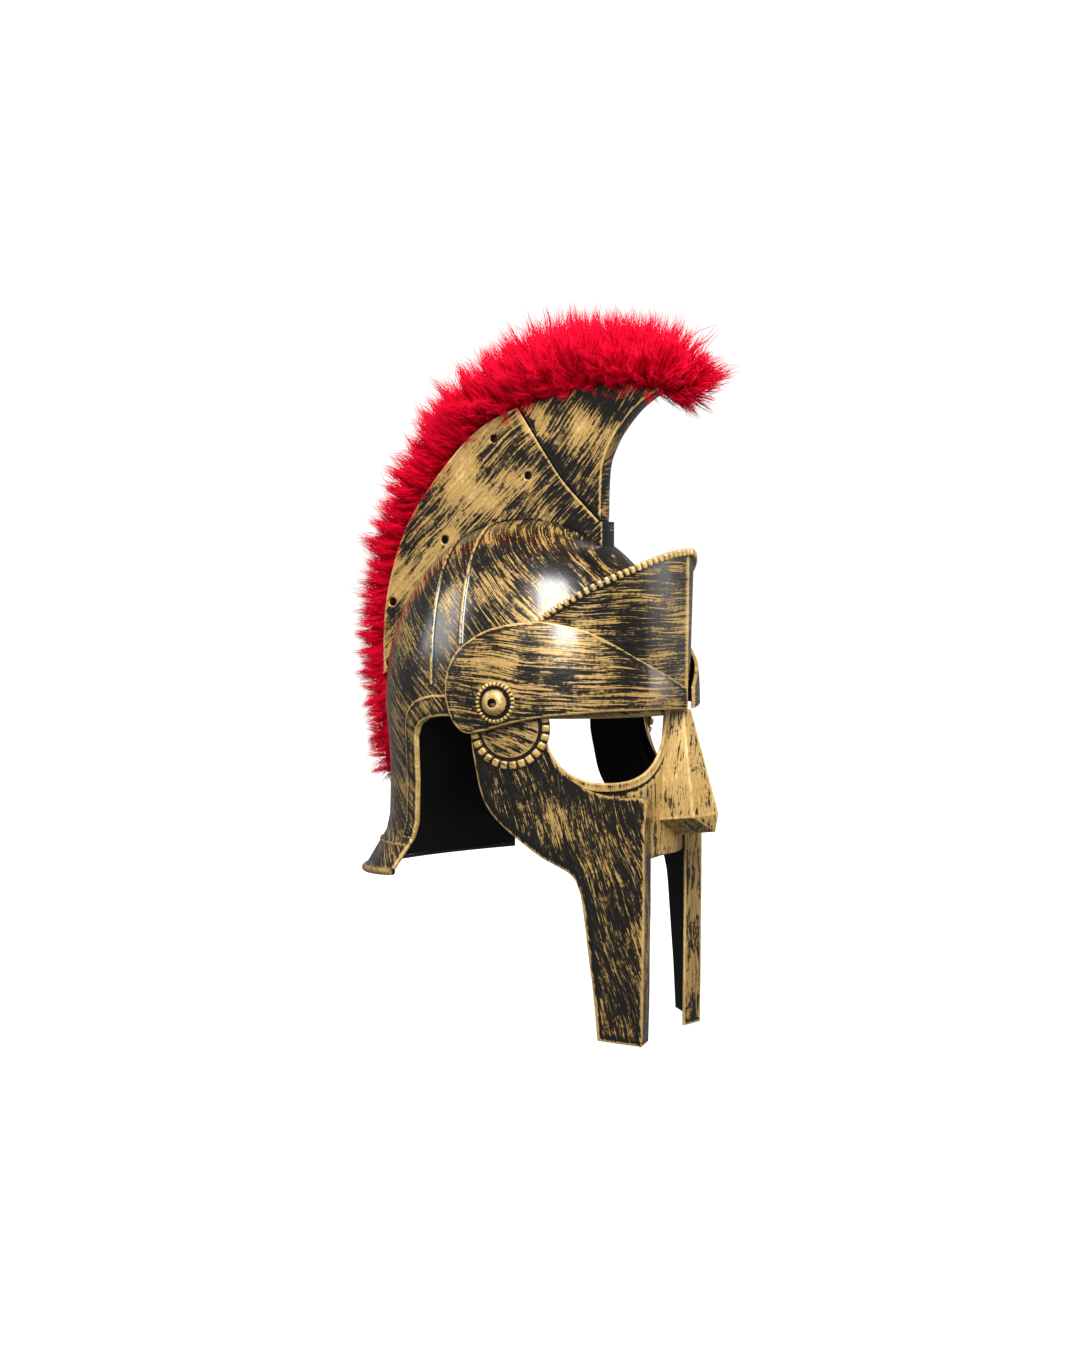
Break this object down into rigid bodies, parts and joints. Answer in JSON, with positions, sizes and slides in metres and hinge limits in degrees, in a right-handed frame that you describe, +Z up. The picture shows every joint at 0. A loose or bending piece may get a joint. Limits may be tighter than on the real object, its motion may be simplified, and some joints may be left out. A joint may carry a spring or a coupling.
{
  "type": "gladiator helmet",
  "caption": "Moulded gladiator helmet with a tall crest fin, red feather plume, keeled brow plate, face mask with a nose and long hanging cheek guards.",
  "frame": {"origin": "inside the top of the dome, where the crown of the wearer's head seats", "axes": "+Z up, the face looks along -Y, the wearer's right is -X"},
  "size_m": [0.2086, 0.2912, 0.5049],
  "materials": {
    "brushed_gold_plastic": "black moulded plastic dry-brushed with antique gold, semi-gloss",
    "red_feather": "fluffy dyed marabou feather"
  },
  "bodies": {
    "root": {"skull_shell": "brushed_gold_plastic", "crest_rear": "brushed_gold_plastic", "crest_front": "brushed_gold_plastic", "brow_plate": "brushed_gold_plastic", "brow_band_right": "brushed_gold_plastic", "brow_band_left": "brushed_gold_plastic", "rosette_right": "brushed_gold_plastic", "rosette_left": "brushed_gold_plastic", "face_mask": "brushed_gold_plastic", "cheek_guard_right": "brushed_gold_plastic", "cheek_guard_left": "brushed_gold_plastic", "ear_disc_right": "brushed_gold_plastic", "ear_disc_left": "brushed_gold_plastic", "plume": "red_feather"}
  },
  "joints": []
}
